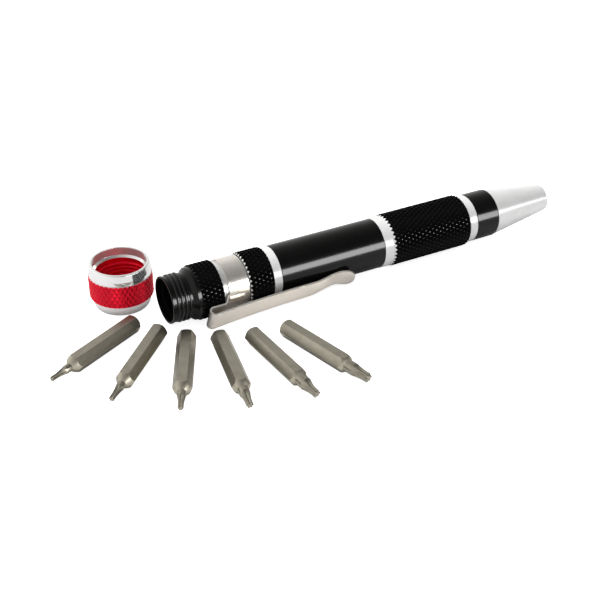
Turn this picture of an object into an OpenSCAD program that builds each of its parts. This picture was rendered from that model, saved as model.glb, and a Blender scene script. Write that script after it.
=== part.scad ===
// Pocket screwdriver with six star bits, laid out with its cap taken off.
// The handle lies along +X with its open end towards -X and its nose towards +X.
// +Z is up, the table is z = 0, and the origin is the middle of the laid-out set.

/* [Storage tube] */
// Diameter of the storage bore, which takes three bits abreast
bore_d = 9.6; // [9.2:0.1:12]
// Layers of bits stored end to end
bit_layers = 2; // [1:1:2]
// Spare depth of the storage bore beyond the bits
storage_spare = 2.6; // [1:0.1:6]
// Half angle of the drill's point at the bottom of the bore
drill_half = 59; // [45:1:75]
// Wall of the tube under the sleeves
tube_wall = 0.8; // [0.5:0.05:1.2]
// Wall of the tube at the root of the thread
thread_wall = 0.8; // [0.3:0.05:1]
// Height of the thread's ridges
thread_h = 0.4; // [0.2:0.05:0.6]
// Pitch of the thread
thread_pitch = 1.03; // [0.8:0.01:2]
// Plain length between the mouth and the thread
thread_start = 0.7; // [0.4:0.05:1.2]
// Length of the threaded end, from the mouth to the neck
thread_l = 4.9; // [4:0.1:8]
// Length of the neck behind the thread
neck_l = 0.3; // [0.2:0.1:2]
// Length of the smooth shoulder that the cap's mouth covers
shoulder_l = 2; // [1.4:0.1:3]
// Length of the cone at the rear of the shoulder
shoulder_cone_l = 1.1; // [0.3:0.1:1.2]
// Height of the shoulder above the thread's ridges
shoulder_h = 0.5; // [0.4:0.05:1.2]

/* [Sleeves and rings] */
// Wall of the plain barrel sleeve
sleeve_wall = 0.83; // [0.5:0.01:1.6]
// Height of the knurled bands above the barrel
knurl_h = 0.4; // [0.2:0.05:0.8]
// Depth of the clip seat below the barrel
seat_drop = 0.4; // [0.2:0.05:0.5]
// Depth of the front collar below the barrel
collar_drop = 0.15; // [0:0.05:0.4]
// Height of the grip's bright ring above the barrel
grip_ring_h = 0.1; // [0:0.05:0.2]
// Length of the rear knurl ring
rear_knurl_l = 5.7; // [4.5:0.1:9]
// Length of the middle knurl ring
mid_knurl_l = 6.4; // [3:0.1:10]
// Length of the rear bright ring
rear_ring_l = 2.3; // [1:0.1:5]
// Length of the plain barrel
barrel_l = 29.3; // [24:0.1:50]
// Length of the grip's bright ring
grip_ring_l = 2.5; // [1:0.1:5]
// Length of the knurled grip
grip_l = 23.5; // [15:0.1:40]
// Length of the front bright ring
front_ring_l = 2.5; // [1:0.1:6]
// Length of the front collar
collar_l = 6.8; // [3:0.1:12]
// Radius of the front collar's round edge
collar_round = 0.6; // [0.2:0.05:0.7]
// Chamfer on the edges of the knurled bands
knurl_chamfer = 0.25; // [0.1:0.05:0.4]

/* [Nose] */
// Length of the nose cone
nose_l = 18.1; // [16:0.1:26]
// Step from the front collar down to the nose
nose_step = 0.12; // [0:0.02:0.4]
// Wall of the nose round the bit socket at its tip
tip_wall = 0.58; // [0.4:0.02:1]
// Radius of the round edge at the tip
tip_round = 0.4; // [0.2:0.05:0.4]
// Length of the spigot that carries the nose
spigot_l = 5; // [3:0.1:6]
// Step from the tube down to the spigot
spigot_step = 1.2; // [0.8:0.1:2]
// Wall of the bit socket at the corners of its hexagon
socket_wall = 0.63; // [0.4:0.02:1]
// Depth of the hexagon
socket_depth = 9.3; // [7:0.1:9.5]
// Diameter of the magnet
magnet_d = 3.8; // [2:0.1:3.9]
// Length of the magnet
magnet_l = 2.6; // [1:0.1:2.8]

/* [Clip] */
// Thickness of the clip's sheet
clip_t = 0.45; // [0.3:0.05:0.5]
// Width of the clip's leaf at the fold
clip_w = 6; // [4:0.1:6.1]
// Width of the leaf where it starts to come down to the barrel
leaf_end_w = 5.4; // [4:0.1:6]
// Width of the leaf where it is nearest to the barrel
waist_w = 4.9; // [3.5:0.1:6]
// Width of the clip's band
band_w = 5.1; // [4:0.1:9]
// Opening of the band on the side away from the leaf
band_split = 1.2; // [0.6:0.1:3]
// Bare seat behind the band
band_gap_rear = 1.4; // [0.8:0.1:2]
// Bare seat in front of the band
band_gap_front = 0.4; // [0.2:0.1:2]
// Gap between the tongue and the rear knurl ring
tongue_gap = 0.15; // [0.1:0.05:0.6]
// Length over which the tongue rises from the band
rise_l = 2; // [1.3:0.1:2]
// Length of the tongue that overlaps the band
root_l = 0.6; // [0.4:0.1:1.2]
// Distance from the front of the rear knurl ring back to the fold
fold_back = 3.7; // [1.5:0.1:4.4]
// Radius of the fold in the middle of the sheet
fold_r = 1.05; // [0.5:0.05:1.1]
// Length of the leaf's long slope
leaf_l = 26.4; // [20:0.1:31]
// Length of the leaf's bend down to the barrel
dip_l = 8.2; // [5:0.1:10]
// Length of the turned-up end
flick_l = 4.2; // [3:0.1:6]
// Rise of the turned-up end
flick_h = 1.35; // [0.3:0.05:2]
// Width of the turned-up end
flick_w = 5.4; // [5.3:0.1:6]
// Radius of the leaf's rounded corners
flick_round = 2.3; // [1:0.1:2.6]
// Gap between the leaf and the barrel
leaf_gap = 0.3; // [0.1:0.05:0.8]
// Angle of the clip below the horizontal
clip_down = 25; // [0:1:26]

/* [Cap] */
// Radial clearance of the cap on the thread and the shoulder
cap_gap = 0.15; // [0.05:0.01:0.3]
// Wall of the cap's mouth
lip_wall = 0.65; // [0.4:0.05:1.2]
// Swell of the bright mouth ring from its lip to the knurl
mouth_swell = 0.4; // [0.1:0.05:0.8]
// Height of the cap's knurl above the mouth ring
cap_knurl_h = 0.2; // [0.1:0.05:0.5]
// Height of the bright mouth ring
mouth_l = 2.75; // [2.2:0.05:4]
// Depth of the smooth counterbore in the mouth
counterbore_l = 2.1; // [1.5:0.05:2.1]
// Height of the closed end outside
end_l = 2.75; // [1.5:0.05:5]
// Height of the closed end's plug inside the cap
plug_l = 0.75; // [0.4:0.05:1.5]
// Free depth between the plug and the tube's mouth when the cap is on
cap_spare = 0.9; // [0.2:0.05:2]
// Inward slope of the closed end
end_taper = 0.8; // [0.3:0.05:2]
// Step from the knurl to the closed end
end_step = 0.5; // [0.2:0.05:1]

/* [Bits] */
// Width of the hexagon across its flats
bit_af = 4; // [3:0.1:4.2]
// Length of a bit
bit_l = 28; // [24:0.5:32]
// Length of the turned end in front of the hexagon
tip_l = 8; // [6.5:0.1:12]
// Half angle of the cone from the hexagon to the neck
cone_half = 30; // [25:1:45]
// Length of the fluted tip
star_l = 3.6; // [2.6:0.1:4]
// Length in which the flutes run out into the neck
run_out_l = 2.2; // [1:0.1:2.4]
// Diameters of the six tips over their lobes
star_sizes = [1.2, 1.45, 1.35, 1.7, 2, 2.35];
// Diameters of the six necks
neck_sizes = [2, 2, 2, 2.5, 3, 3];
// Chamfer on the edges of the tail
tail_chamfer = 0.35; // [0.1:0.05:0.6]

/* [Fits] */
// Radial clearance of pressed and stacked pieces
fit_gap = 0.02; // [0.01:0.01:0.05]
// Radial clearance of the clip's band on its seat
band_fit = 0.03; // [0.01:0.01:0.1]
// Clearance of a bit in the socket, on each flat
socket_gap = 0.05; // [0.02:0.01:0.1]
// Clear space between the handle and the standing cap
cap_clear = 0.75; // [0.6:0.05:6]

/* [Hidden] */
$fn = 96;

// Stations along a bit, counted from its tail
hex_l = bit_l - tip_l;
star_s = bit_l - star_l;

// Radii of the handle, from the bore outwards
bore_r = bore_d / 2;
tube_r = bore_r + tube_wall;
root_r = bore_r + thread_wall;
ridge_r = root_r + thread_h;
shoulder_r = ridge_r + shoulder_h;
sleeve_in_r = tube_r + fit_gap;
barrel_r = sleeve_in_r + sleeve_wall;
knurl_r = barrel_r + knurl_h;
seat_r = barrel_r - seat_drop;
collar_r = barrel_r - collar_drop;
grip_ring_r = barrel_r + grip_ring_h;

// Stations along the handle, counted from the mouth of the storage tube
seat_l = band_gap_rear + band_w + band_gap_front;
neck_s = thread_l;
shoulder_s = neck_s + neck_l;
rear_knurl_s = shoulder_s + shoulder_l;
seat_s = rear_knurl_s + rear_knurl_l;
mid_knurl_s = seat_s + seat_l;
rear_ring_s = mid_knurl_s + mid_knurl_l;
barrel_s = rear_ring_s + rear_ring_l;
grip_ring_s = barrel_s + barrel_l;
grip_s = grip_ring_s + grip_ring_l;
front_ring_s = grip_s + grip_l;
collar_s = front_ring_s + front_ring_l;
nose_s = collar_s + collar_l;
handle_l = nose_s + nose_l;
storage_l = bit_layers * bit_l + storage_spare;
drill_l = bore_r / tan(drill_half);

// Thread ridges, as shares of the pitch from one ridge to the next
ridge_shares = [[0, 0], [0.25, 1], [0.5, 1], [0.75, 0]];
thread_turns = floor((thread_l - thread_start) / thread_pitch);

// Nose, socket and magnet
socket_corner_r = (bit_af + 2 * socket_gap) / sqrt(3);
socket_r = socket_corner_r + socket_wall;
nose_in_r = socket_r + fit_gap;
tip_r = nose_in_r + tip_wall;
nose_r = collar_r - nose_step;
spigot_r = tube_r - spigot_step;
spigot_gap = socket_gap;
spigot_hole_l = spigot_l + spigot_gap;
socket_front_s = handle_l - tip_round;
socket_floor_s = socket_front_s - socket_depth;
socket_s = socket_floor_s - magnet_l;
magnet_r = magnet_d / 2;

// Clip, in stations along the handle and distances from its axis
band_s = seat_s + band_gap_rear;
band_r = seat_r + band_fit;
tongue_mid_r = knurl_r + tongue_gap + clip_t / 2;
fold_s = seat_s - fold_back;
fold_mid_r = tongue_mid_r + fold_r;
leaf_mid_r = fold_mid_r + fold_r;
dip_mid_r = barrel_r + leaf_gap + clip_t / 2;
leaf_fall_share = 0.51;
leaf_end_s = fold_s + leaf_l;
leaf_end_r = leaf_mid_r + (dip_mid_r - leaf_mid_r) * leaf_fall_share;
dip_s = leaf_end_s + dip_l;
flick_s = dip_s + flick_l;
flick_r = dip_mid_r + flick_h;
flick_bend_share = 0.12;
fold_split = 12;
bend_steps = 8;

// Cap, in heights above the table
cap_minor_r = root_r + cap_gap;
cap_major_r = ridge_r + cap_gap;
counterbore_r = shoulder_r + cap_gap;
lip_r = counterbore_r + lip_wall;
mouth_r = lip_r + mouth_swell;
cap_r = mouth_r + cap_knurl_h;
end_top_r = cap_r - end_step;
end_foot_r = end_top_r - end_taper;
plug_z = end_l + plug_l;
cap_h = plug_z + cap_spare + rear_knurl_s;
mouth_z = cap_h - mouth_l;
ledge_z = cap_h - counterbore_l;
plug_r = cap_minor_r - fit_gap;
cap_turns = floor((mouth_z - plug_z) / thread_pitch);
swell_share = 0.35;
lip_round = lip_wall / 3;
end_bend_shares = [[0, 0], [0.55, 0.3], [1, 1]];

// Shapes of the bits
bit_corner_r = bit_af / sqrt(3);
tail_r = bit_af / 2 - tail_chamfer / 2;
valley_share = 0.72;
flute_share = 0.35;
fin_start_share = 0.96;
star_end_share = 0.8;
star_end_l_share = 0.12;

// Places of the bits' tails from the handle's mouth, as shares of its knurled diameter, and their turns
tail_shares = [[-0.53, 0.11], [-0.25, -0.32], [0.1, -0.69], [0.58, -0.96], [1.1, -1.17], [1.7, -1.25]];
bit_turns = [-153, -134.5, -116.5, -101, -85.5, -75.5];
bit_indices = [0 : len(bit_turns) - 1];
tails = tail_shares * 2 * knurl_r;
tips = [for (i = bit_indices) tails[i] + bit_l * [cos(bit_turns[i]), sin(bit_turns[i])]];

// Place of the standing cap from the handle's mouth
cap_back_share = 0.4;
cap_place = [-cap_back_share * 2 * knurl_r, ridge_r + cap_clear + cap_r];

// The set's middle becomes the origin
low_x = min([for (i = bit_indices) tips[i].x - star_sizes[i] / 2 * abs(sin(bit_turns[i]))]);
low_y = min([for (i = bit_indices) tips[i].y - star_sizes[i] / 2 * abs(cos(bit_turns[i]))]);
high_y = cap_place.y + cap_r;
mouth_place = [-(low_x + handle_l) / 2, -(low_y + high_y) / 2, 0];
axis_place = mouth_place + [0, 0, knurl_r];
overrun = knurl_r;

// Points on an arc about a centre
function arc(centre, radius, from, to) =
    [for (i = [0 : bend_steps]) let (turn = from + (to - from) * i / bend_steps)
        centre + radius * [cos(turn), sin(turn)]];

// Points on a smooth step from one point to another
function ease(from, to) =
    [for (i = [0 : bend_steps]) let (u = i / bend_steps)
        [from.x + (to.x - from.x) * u, from.y + (to.y - from.y) * u * u * (3 - 2 * u)]];

// Points on a slope that levels out at its end, without its first point
function slope(from, to) =
    [for (i = [1 : bend_steps]) let (u = i / bend_steps)
        [from.x + (to.x - from.x) * u, to.y + (from.y - to.y) * (1 - u) * (1 - u)]];

// Points on a short bend with a straight rise after it, without its first point
function flick(from, to) =
    [for (i = [1 : bend_steps]) let (u = i / bend_steps, b = flick_bend_share)
        from + [(to.x - from.x) * u, (to.y - from.y) * (sqrt(b * b + u * u) - b) / (sqrt(b * b + 1) - b)]];

// One side of a sheet that follows a path, at a distance from its middle
function sheet_side(path, reach) =
    [for (i = [0 : len(path) - 1])
        let (ahead = path[min(i + 1, len(path) - 1)], behind = path[max(i - 1, 0)], run = ahead - behind)
        path[i] + reach * [-run.y, run.x] / norm(run)];

// Outline of a sheet that follows a path
function sheet(path) =
    let (far = sheet_side(path, clip_t / 2), near = sheet_side(path, -clip_t / 2))
    concat(far, [for (i = [len(near) - 1 : -1 : 0]) near[i]]);

// A ring profile of thread ridges that starts at a station
function ridges(start, turns, low, high) =
    [for (i = [0 : turns - 1]) for (p = ridge_shares)
        [low + (high - low) * p[1], start + (i + p[0]) * thread_pitch]];

// Turns a profile of radius and station about the handle's axis
module turned(profile) {
    translate(axis_place) rotate([0, 90, 0]) rotate_extrude() polygon(profile);
}

// Turns a profile of radius and height about the standing cap's axis
module cap_turned(profile) {
    translate(mouth_place + [cap_place.x, cap_place.y, 0]) rotate_extrude() polygon(profile);
}

// A plain sleeve on the tube
module sleeve(start, length, radius) {
    turned([[sleeve_in_r, start], [radius, start], [radius, start + length], [sleeve_in_r, start + length]]);
}

// A knurled band on the tube, with chamfered edges
module knurled_band(start, length) {
    stop = start + length;
    turned([[sleeve_in_r, start], [knurl_r - knurl_chamfer, start], [knurl_r, start + knurl_chamfer],
        [knurl_r, stop - knurl_chamfer], [knurl_r - knurl_chamfer, stop], [sleeve_in_r, stop]]);
}

// Lays an outline of station and distance along the clip's leaf, across a width
module leaf_solid(outline, width) {
    translate(axis_place) rotate([180 + clip_down, 0, 0])
        translate([0, 0, -width / 2]) linear_extrude(width) polygon(outline);
}

module storage_tube() {
    color("#17181a") turned(concat(
        [[bore_r, 0], [root_r, 0]],
        ridges(thread_start, thread_turns, root_r, ridge_r),
        [[root_r, neck_s], [root_r, shoulder_s], [shoulder_r, shoulder_s + shoulder_cone_l],
         [shoulder_r, rear_knurl_s], [tube_r, rear_knurl_s],
         [tube_r, nose_s], [spigot_r, nose_s], [spigot_r, nose_s + spigot_l], [0, nose_s + spigot_l],
         [0, storage_l + drill_l], [bore_r, storage_l]]));
}

module rear_knurl_ring() { color("#1b1c1f") knurled_band(rear_knurl_s, rear_knurl_l); }

module clip_seat() { color("#d9dadc") sleeve(seat_s, seat_l, seat_r); }

module middle_knurl_ring() { color("#1b1c1f") knurled_band(mid_knurl_s, mid_knurl_l); }

module rear_bright_ring() { color("#d9dadc") sleeve(rear_ring_s, rear_ring_l, barrel_r); }

module barrel_sleeve() { color("#0e0f10") sleeve(barrel_s, barrel_l, barrel_r); }

module grip_bright_ring() { color("#d9dadc") sleeve(grip_ring_s, grip_ring_l, grip_ring_r); }

module knurled_grip() { color("#1b1c1f") knurled_band(grip_s, grip_l); }

module front_bright_ring() { color("#d9dadc") sleeve(front_ring_s, front_ring_l, collar_r); }

module front_collar() {
    edge = arc([collar_r - collar_round, nose_s - collar_round], collar_round, 0, 90);
    color("#0e0f10") turned(concat([[sleeve_in_r, collar_s], [collar_r, collar_s]], edge,
        [[sleeve_in_r, nose_s]]));
}

module nose_cone() {
    edge = arc([tip_r - tip_round, handle_l - tip_round], tip_round, 0, 90);
    spigot_in_r = spigot_r + fit_gap;
    spigot_end_s = nose_s + spigot_hole_l;
    color("#c9cacb") turned(concat([[spigot_in_r, nose_s], [nose_r, nose_s]], edge,
        [[nose_in_r, handle_l], [nose_in_r, spigot_end_s], [spigot_in_r, spigot_end_s]]));
}

module bit_socket() {
    color("#8d8f92") difference() {
        turned([[0, socket_s], [socket_r, socket_s], [socket_r, socket_front_s], [0, socket_front_s]]);
        translate(axis_place + [socket_floor_s, 0, 0]) rotate([0, 90, 0]) rotate(30)
            cylinder(r = socket_corner_r, h = socket_depth + overrun, $fn = 6);
        translate(axis_place + [socket_s - overrun, 0, 0]) rotate([0, 90, 0])
            cylinder(r = magnet_r + fit_gap, h = overrun + magnet_l + overrun);
    }
}

module socket_magnet() {
    color("#77797c") turned([[0, socket_s], [magnet_r, socket_s], [magnet_r, socket_floor_s],
        [0, socket_floor_s]]);
}

module clip_band() {
    split_turn = 180 + clip_down;
    tongue = concat([[band_s + root_l, band_r + clip_t / 2]],
        ease([band_s + root_l / 2, band_r + clip_t / 2], [band_s + root_l / 2 - rise_l, tongue_mid_r]),
        arc([fold_s, fold_mid_r], fold_r, 270, 180 + fold_split / 2));
    color("#c4bfb6") union() {
        difference() {
            turned([[band_r, band_s], [band_r + clip_t, band_s], [band_r + clip_t, band_s + band_w],
                [band_r, band_s + band_w]]);
            translate(axis_place) rotate([split_turn, 0, 0])
                translate([band_s - overrun, -2 * overrun, -band_split / 2])
                cube([band_w + 2 * overrun, 2 * overrun, band_split]);
        }
        leaf_solid(sheet(tongue), clip_w);
    }
}

module clip_arm() {
    turn = [leaf_end_s, leaf_end_r];
    dip = [dip_s, dip_mid_r];
    leaf = concat(arc([fold_s, fold_mid_r], fold_r, 180 - fold_split / 2, 90),
        slope([fold_s, leaf_mid_r], turn), [for (i = [1 : bend_steps]) ease(turn, dip)[i]],
        flick(dip, [flick_s, flick_r]));
    back_s = fold_s - fold_r - clip_t;
    round_s = flick_s - flick_round;
    side = concat([[back_s, clip_w / 2], [fold_s, clip_w / 2], [leaf_end_s, leaf_end_w / 2],
        [leaf_end_s + dip_l / 2, waist_w / 2], [dip_s, waist_w / 2]],
        arc([round_s, flick_w / 2 - flick_round], flick_round, 90, 0));
    color("#c4bfb6") intersection() {
        leaf_solid(sheet(leaf), clip_w);
        translate(axis_place) rotate([90 + clip_down, 0, 0]) linear_extrude(overrun * 2)
            polygon(concat(side, [for (i = [len(side) - 1 : -1 : 0]) [side[i].x, -side[i].y]]));
    }
}

module cap_body() {
    color("#c8102e") cap_turned(concat([[cap_minor_r, end_l], [end_top_r, end_l],
        [cap_r - knurl_chamfer, end_l], [cap_r, end_l + knurl_chamfer],
        [cap_r, mouth_z - knurl_chamfer], [cap_r - knurl_chamfer, mouth_z], [cap_major_r, mouth_z]],
        [for (i = [cap_turns * len(ridge_shares) - 1 : -1 : 0])
            ridges(plug_z, cap_turns, cap_minor_r, cap_major_r)[i]]));
}

module cap_mouth_ring() {
    swell_z = mouth_z + mouth_l * swell_share;
    color("#dcdde0") cap_turned([[cap_major_r, mouth_z], [mouth_r, mouth_z], [mouth_r, swell_z],
        [lip_r, cap_h - lip_round], [lip_r - lip_round, cap_h], [counterbore_r, cap_h],
        [counterbore_r, ledge_z], [cap_major_r, ledge_z]]);
}

module cap_end() {
    side = [for (p = end_bend_shares)
        [end_foot_r + (end_top_r - end_foot_r) * p[0], end_l * p[1]]];
    color("#dcdde0") cap_turned(concat([[0, 0]], side, [[plug_r, end_l], [plug_r, plug_z], [0, plug_z]]));
}

// Round outline of a neck with six flutes down to the valleys of a star
module fluted(size, neck) {
    flute_r = size / 2 * flute_share;
    flute_place = size / 2 * valley_share + flute_r;
    difference() {
        circle(d = neck);
        for (turn = [0 : 60 : 300]) rotate(turn) {
            translate([flute_place, 0]) circle(flute_r);
            translate([flute_place, -flute_r]) square([neck, 2 * flute_r]);
        }
    }
}

// One star bit, with its tail at its own place and its axis half its width above the table
module star_bit(index) {
    size = star_sizes[index];
    neck = neck_sizes[index];
    neck_r = neck / 2;
    cone_end_s = hex_l + (bit_corner_r - neck_r) / tan(cone_half);
    run_end_s = star_s + run_out_l;
    star_end_s = bit_l - star_l * star_end_l_share;
    reach_r = bit_corner_r + tail_chamfer;
    color("#7d7a70") translate(mouth_place + [tails[index].x, tails[index].y, bit_af / 2])
        rotate(bit_turns[index]) rotate([0, 90, 0]) union() {
            intersection() {
                rotate(30) cylinder(r = bit_corner_r, h = bit_l, $fn = 6);
                rotate_extrude() polygon([[0, 0], [tail_r, 0], [reach_r, reach_r - tail_r],
                    [reach_r, hex_l - tail_chamfer / tan(cone_half)], [neck_r, cone_end_s], [0, cone_end_s]]);
            }
            rotate_extrude() polygon([[0, hex_l], [neck_r, hex_l], [neck_r, star_s],
                [size / 2 * valley_share, run_end_s], [0, run_end_s]]);
            intersection() {
                translate([0, 0, star_s]) linear_extrude(star_l) fluted(size, neck);
                rotate_extrude() polygon([[0, star_s], [neck_r * fin_start_share, star_s],
                    [size / 2, run_end_s], [size / 2, star_end_s], [size / 2 * star_end_share, bit_l],
                    [0, bit_l]]);
            }
        }
}

storage_tube();
rear_knurl_ring();
clip_seat();
clip_band();
clip_arm();
middle_knurl_ring();
rear_bright_ring();
barrel_sleeve();
grip_bright_ring();
knurled_grip();
front_bright_ring();
front_collar();
nose_cone();
bit_socket();
socket_magnet();
cap_body();
cap_mouth_ring();
cap_end();
star_bit(0);  // star_bit_1
star_bit(1);  // star_bit_2
star_bit(2);  // star_bit_3
star_bit(3);  // star_bit_4
star_bit(4);  // star_bit_5
star_bit(5);  // star_bit_6
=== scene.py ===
"""A pen-style pocket screwdriver with its cap off and six star bits in front of it.

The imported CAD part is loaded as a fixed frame. Each operator dresses one piece, or one group of
like pieces, at the frame's own places and sizes, and the last one sets the stage.

Turned pieces are made lying along X from their own start, as (station, radius) outlines, and are
then laid in the handle, stood up as the cap, or fanned out as bits. Lengths are in metres.
"""

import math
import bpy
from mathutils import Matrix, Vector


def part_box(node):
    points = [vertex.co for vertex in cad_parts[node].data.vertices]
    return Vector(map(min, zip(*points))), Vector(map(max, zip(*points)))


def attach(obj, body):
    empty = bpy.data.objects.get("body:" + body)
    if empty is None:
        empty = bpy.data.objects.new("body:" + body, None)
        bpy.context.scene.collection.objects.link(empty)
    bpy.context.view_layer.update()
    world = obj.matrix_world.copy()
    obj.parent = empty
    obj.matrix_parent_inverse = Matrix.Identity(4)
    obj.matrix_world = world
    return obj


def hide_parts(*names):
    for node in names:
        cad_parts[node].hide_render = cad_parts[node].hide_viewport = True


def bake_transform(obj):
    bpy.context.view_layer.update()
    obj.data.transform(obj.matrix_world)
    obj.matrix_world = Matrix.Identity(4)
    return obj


bl_info = {
    "name": "Pocket Screwdriver",
    "version": (1, 0, 0),
    "blender": (4, 5, 0),
    "location": "3D View > Sidebar > Screwdriver",
    "description": "Dresses a pocket screwdriver, its cap, its clip and six star bits",
    "category": "Object",
}

import bmesh
import bpy
import numpy as np
from bpy.props import FloatProperty, FloatVectorProperty, IntProperty, PointerProperty
from bpy.types import Operator, Panel, PropertyGroup
from mathutils import Matrix, Vector

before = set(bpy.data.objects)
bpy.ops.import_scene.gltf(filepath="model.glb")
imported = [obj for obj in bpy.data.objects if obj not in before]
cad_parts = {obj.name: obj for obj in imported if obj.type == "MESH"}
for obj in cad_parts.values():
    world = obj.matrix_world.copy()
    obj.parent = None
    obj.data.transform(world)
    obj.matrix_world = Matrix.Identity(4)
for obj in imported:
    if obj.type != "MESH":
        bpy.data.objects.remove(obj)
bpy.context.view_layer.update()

MM = 0.001
MADE_AT = "made_at"                 # attribute: where a point was before its piece was put in place
TURN_STEPS = 144                    # facets round a turned piece
ROUND_STEPS = 5                     # points on a rounded corner
CREASE = math.radians(28)           # edges that bend more than this stay crisp
DRESSED = {}                        # slot of each piece by its object's name
WELD = 0.002 * MM                   # points nearer to each other than this are one
ON_AXIS = 0.001 * MM                # a radius below this is a point on the axis
OVERRUN = 1.0 * MM                  # how far a tool reaches past what it cuts
NEARLY_HALF = 0.49                  # most of an edge, or of a half turn, that a rounding takes
MARK_DEPTH = 0.02 * MM              # depth of tool marks at full strength
SLEEVE_BORE = 5.62 * MM             # the sleeves and rings slide on the tube
EASED = 0.06 * MM                   # the smallest rounding, on edges that only catch the light


# Sizes and colours

class KnurlSizes(PropertyGroup):
    """Diamond knurling of the grip, the two rings and the cap."""

    around: IntProperty(
        name="Diamonds around the handle", default=36, min=8,
        description="Number of diamonds in one turn of the handle's knurled bands")
    cap_around: IntProperty(
        name="Diamonds around the cap", default=41, min=8,
        description="Number of diamonds in one turn of the cap")
    diamond: FloatProperty(
        name="Diamond length", default=2.08 * MM, unit="LENGTH",
        description="Length of one diamond along the axis")
    depth: FloatProperty(
        name="Depth", default=0.38 * MM, unit="LENGTH",
        description="Depth of the grooves below the blunted tips, on the handle")
    cap_depth: FloatProperty(
        name="Depth on the cap", default=0.25 * MM, unit="LENGTH",
        description="Depth of the grooves below the blunted tips, on the cap")
    blunt: FloatProperty(
        name="Blunting", default=0.09 * MM, unit="LENGTH",
        description="How much of each tip is turned off, which leaves a small flat")
    lead: FloatProperty(
        name="First row", default=0.3 * MM, unit="LENGTH",
        description="Distance of the first row of tips from the start of a band")


class ThreadSizes(PropertyGroup):
    """The rounded thread of the handle's open end and of the cap."""

    pitch: FloatProperty(
        name="Pitch", default=1.03 * MM, unit="LENGTH",
        description="Distance from one turn of the thread to the next")
    ridge: FloatProperty(
        name="Ridge radius", default=0.4 * MM, unit="LENGTH",
        description="Radius of the rounded ridge")
    first: FloatProperty(
        name="First crest", default=1.15 * MM, unit="LENGTH",
        description="Distance of the first crest from the mouth")
    turns: FloatProperty(
        name="Turns on the handle", default=3.45, min=1.0,
        description="Number of turns round the handle's end")
    cap_turns: FloatProperty(
        name="Turns in the cap", default=4.6, min=1.0,
        description="Number of turns inside the cap")
    run_out: FloatProperty(
        name="Run-out", default=0.25, min=0.01,
        description="Part of a turn in which the ridge thins out at each end")


class ClipSizes(PropertyGroup):
    """The clip, folded from one strip of spring steel."""

    thickness: FloatProperty(
        name="Thickness", default=0.45 * MM, unit="LENGTH",
        description="Thickness of the spring steel")
    width: FloatProperty(
        name="Width", default=6.0 * MM, unit="LENGTH",
        description="Width of the tongue and of the leaf at the fold")
    turn_width: FloatProperty(
        name="Width at the bend", default=5.4 * MM, unit="LENGTH",
        description="Width of the leaf where it starts to come down to the barrel")
    waist: FloatProperty(
        name="Waist", default=4.9 * MM, unit="LENGTH",
        description="Width of the leaf where it is nearest to the barrel")
    tip_width: FloatProperty(
        name="End width", default=5.4 * MM, unit="LENGTH",
        description="Width of the turned-up end")
    below: FloatProperty(
        name="Turn below level", default=math.radians(25), unit="ROTATION",
        description="How far the clip is turned round the handle, below the level of its axis")
    split: FloatProperty(
        name="Split", default=1.2 * MM, unit="LENGTH",
        description="Gap between the band's two ends, on the side away from the leaf")
    rise: FloatProperty(
        name="Rise", default=2.0 * MM, unit="LENGTH",
        description="Length in which the tongue lifts off the band")
    flare: FloatProperty(
        name="Root flare", default=1.6 * MM, unit="LENGTH",
        description="How much the tongue widens on each side where it leaves the band")
    fold: FloatProperty(
        name="Fold radius", default=1.05 * MM, unit="LENGTH",
        description="Radius of the hairpin, at the middle of the sheet")
    corner: FloatProperty(
        name="End corner", default=2.3 * MM, unit="LENGTH",
        description="Radius of the corners at the leaf's free end")


class BitSizes(PropertyGroup):
    """The six hexagonal bits with star tips."""

    hexagon: FloatProperty(
        name="Hexagon", default=4.0 * MM, unit="LENGTH",
        description="Distance across the flats")
    hex_length: FloatProperty(
        name="Hexagon length", default=20.0 * MM, unit="LENGTH",
        description="Length of the hexagonal part")
    shoulder: FloatProperty(
        name="Shoulder slope", default=1.95, min=0.5, max=4.0,
        description="Length of the domed shoulder for each unit by which it narrows")
    fluted: FloatProperty(
        name="Fluted length", default=4.5 * MM, unit="LENGTH",
        description="Length from the end of the plain neck to the star's end")
    run_out: FloatProperty(
        name="Run-out", default=3.0 * MM, unit="LENGTH",
        description="Length in which the flutes run out into the neck")
    length: FloatProperty(
        name="Whole length", default=28.0 * MM, unit="LENGTH",
        description="Length from the tail to the star's end")
    stars: FloatVectorProperty(
        name="Star sizes", size=6, unit="LENGTH",
        default=(1.2 * MM, 1.45 * MM, 1.35 * MM, 1.7 * MM, 2.0 * MM, 2.35 * MM),
        description="Size of each star over its points")
    necks: FloatVectorProperty(
        name="Neck sizes", size=6, unit="LENGTH",
        default=(2.0 * MM, 2.0 * MM, 2.0 * MM, 2.5 * MM, 3.0 * MM, 3.0 * MM),
        description="Diameter of each neck")
    valley: FloatProperty(
        name="Valley share", default=0.64, subtype="FACTOR", min=0.4, max=1.0,
        description="Radius of the star's valleys as a share of its points'")


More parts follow.
